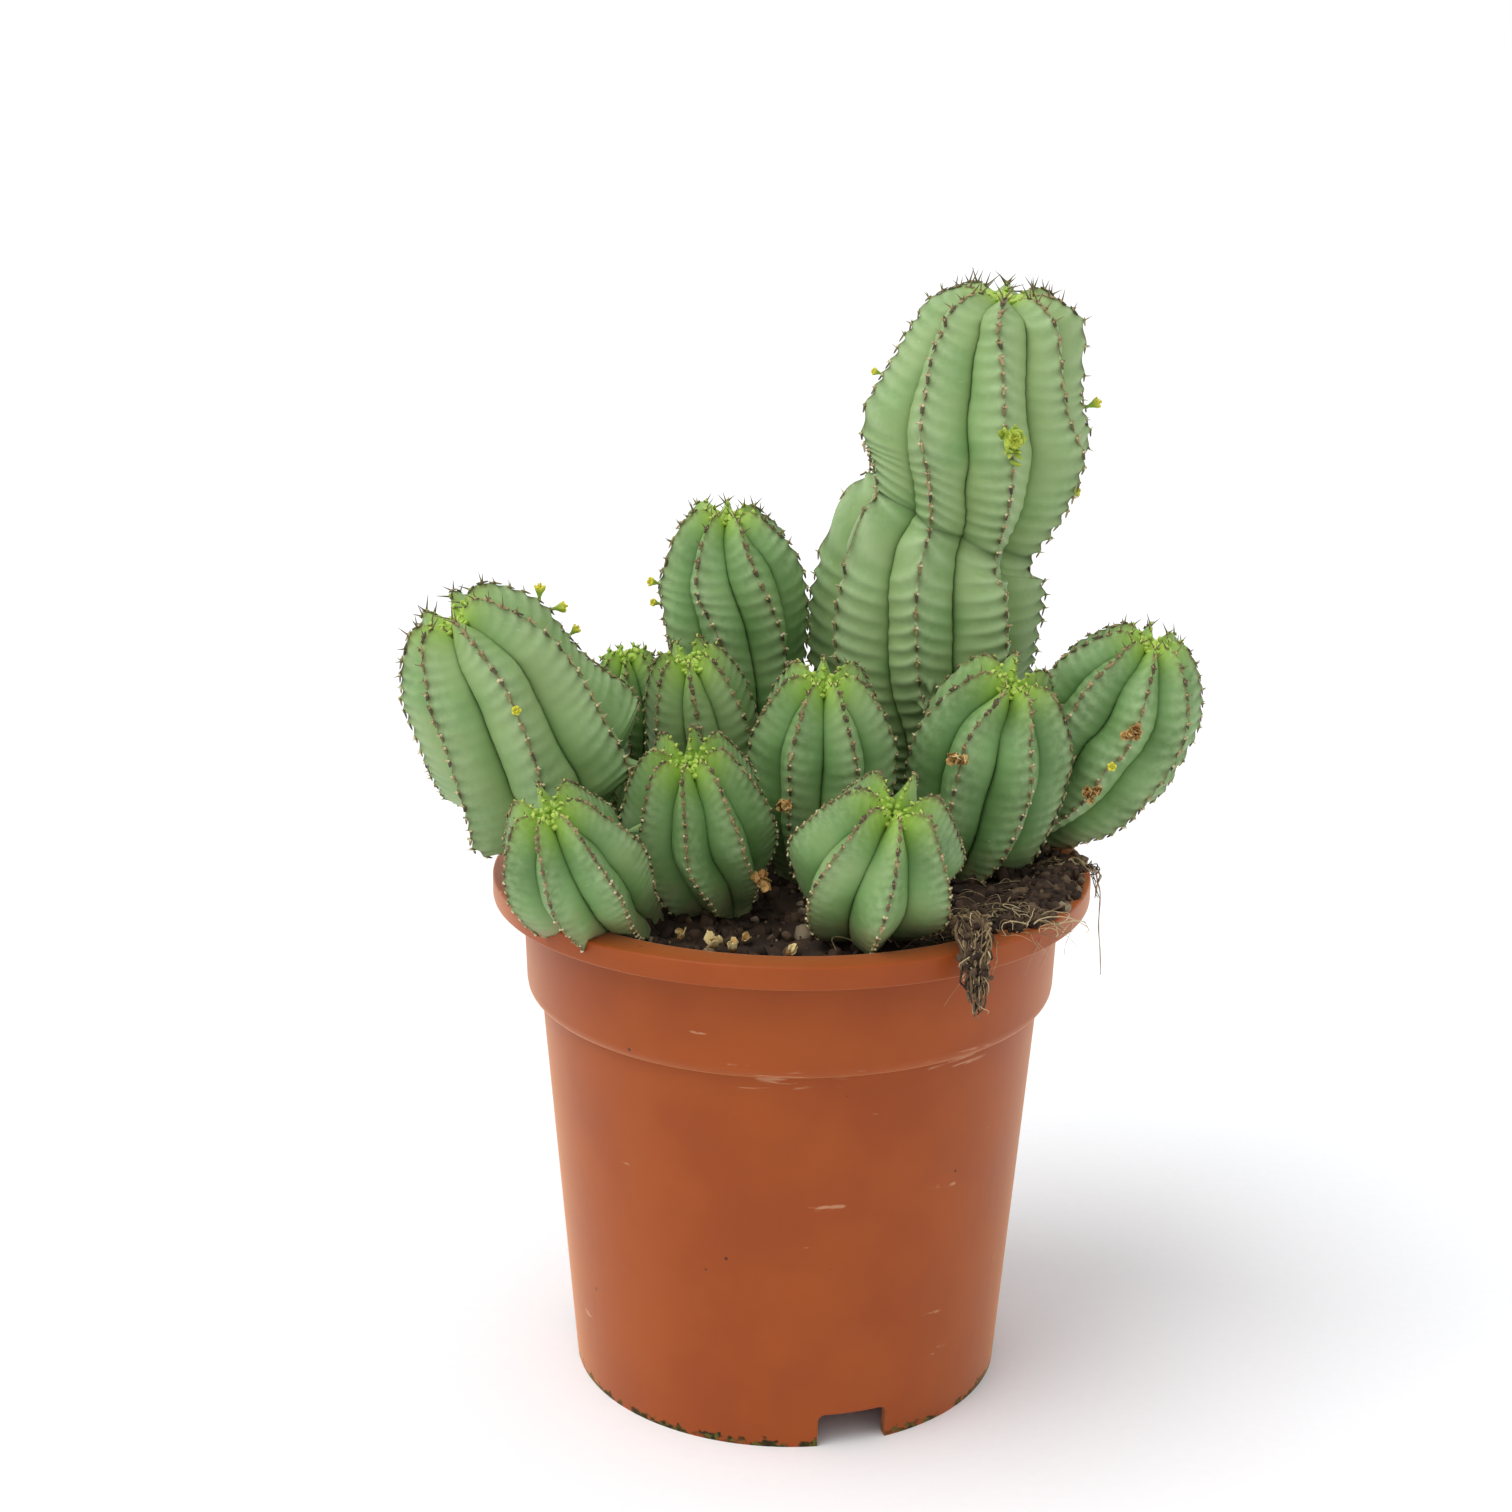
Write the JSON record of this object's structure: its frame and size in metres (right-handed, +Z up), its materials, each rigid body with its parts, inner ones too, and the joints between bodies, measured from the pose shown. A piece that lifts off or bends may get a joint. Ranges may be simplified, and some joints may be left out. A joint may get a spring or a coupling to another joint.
{
  "type": "potted euphorbia",
  "caption": "Clump of ribbed, spiny euphorbia stems, one much taller than the rest, rooted in dark soil in a round terracotta-coloured plastic nursery pot.",
  "frame": {"origin": "the pot's axis at the level of the surface that it stands on", "axes": "+Z up along the pot's axis; -Y towards the front of the plant, where the small stems lean out over the rim; +X to the right seen from the front"},
  "size_m": [0.2255, 0.17, 0.3101],
  "materials": {
    "terracotta_plastic": "satin moulded polypropylene",
    "dark_soil": "loose, rough and matt",
    "euphorbia_skin": "waxy green skin with a grey bloom",
    "flower_yellow": "fleshy, matt",
    "dried_flower": "dry and papery",
    "root_fibre": "dry fibre"
  },
  "bodies": {
    "root": {"centre_left_stem": "euphorbia_skin", "centre_right_stem": "euphorbia_skin", "centre_stem": "euphorbia_skin", "dried_flower_01": "dried_flower", "dried_flower_02": "dried_flower", "dried_flower_03": "dried_flower", "dried_flower_04": "dried_flower", "dried_flower_05": "dried_flower", "dried_flower_06": "dried_flower", "flower_01": "flower_yellow", "flower_02": "flower_yellow", "flower_03": "flower_yellow", "flower_04": "flower_yellow", "flower_05": "flower_yellow", "flower_06": "flower_yellow", "flower_07": "flower_yellow", "flower_08": "flower_yellow", "flower_09": "flower_yellow", "flower_10": "flower_yellow", "flower_11": "flower_yellow", "flower_12": "flower_yellow", "front_centre_stem": "euphorbia_skin", "front_left_stem": "euphorbia_skin", "front_right_stem": "euphorbia_skin", "left_stem": "euphorbia_skin", "nursery_pot": "terracotta_plastic", "potting_soil": "dark_soil", "rear_centre_stem": "euphorbia_skin", "rear_left_stem": "euphorbia_skin", "right_stem": "euphorbia_skin", "root_clump": "root_fibre", "root_tangle": "root_fibre", "second_stem": "euphorbia_skin", "side_root": "root_fibre", "small_back_stem": "euphorbia_skin", "tall_stem": "euphorbia_skin"}
  },
  "joints": []
}
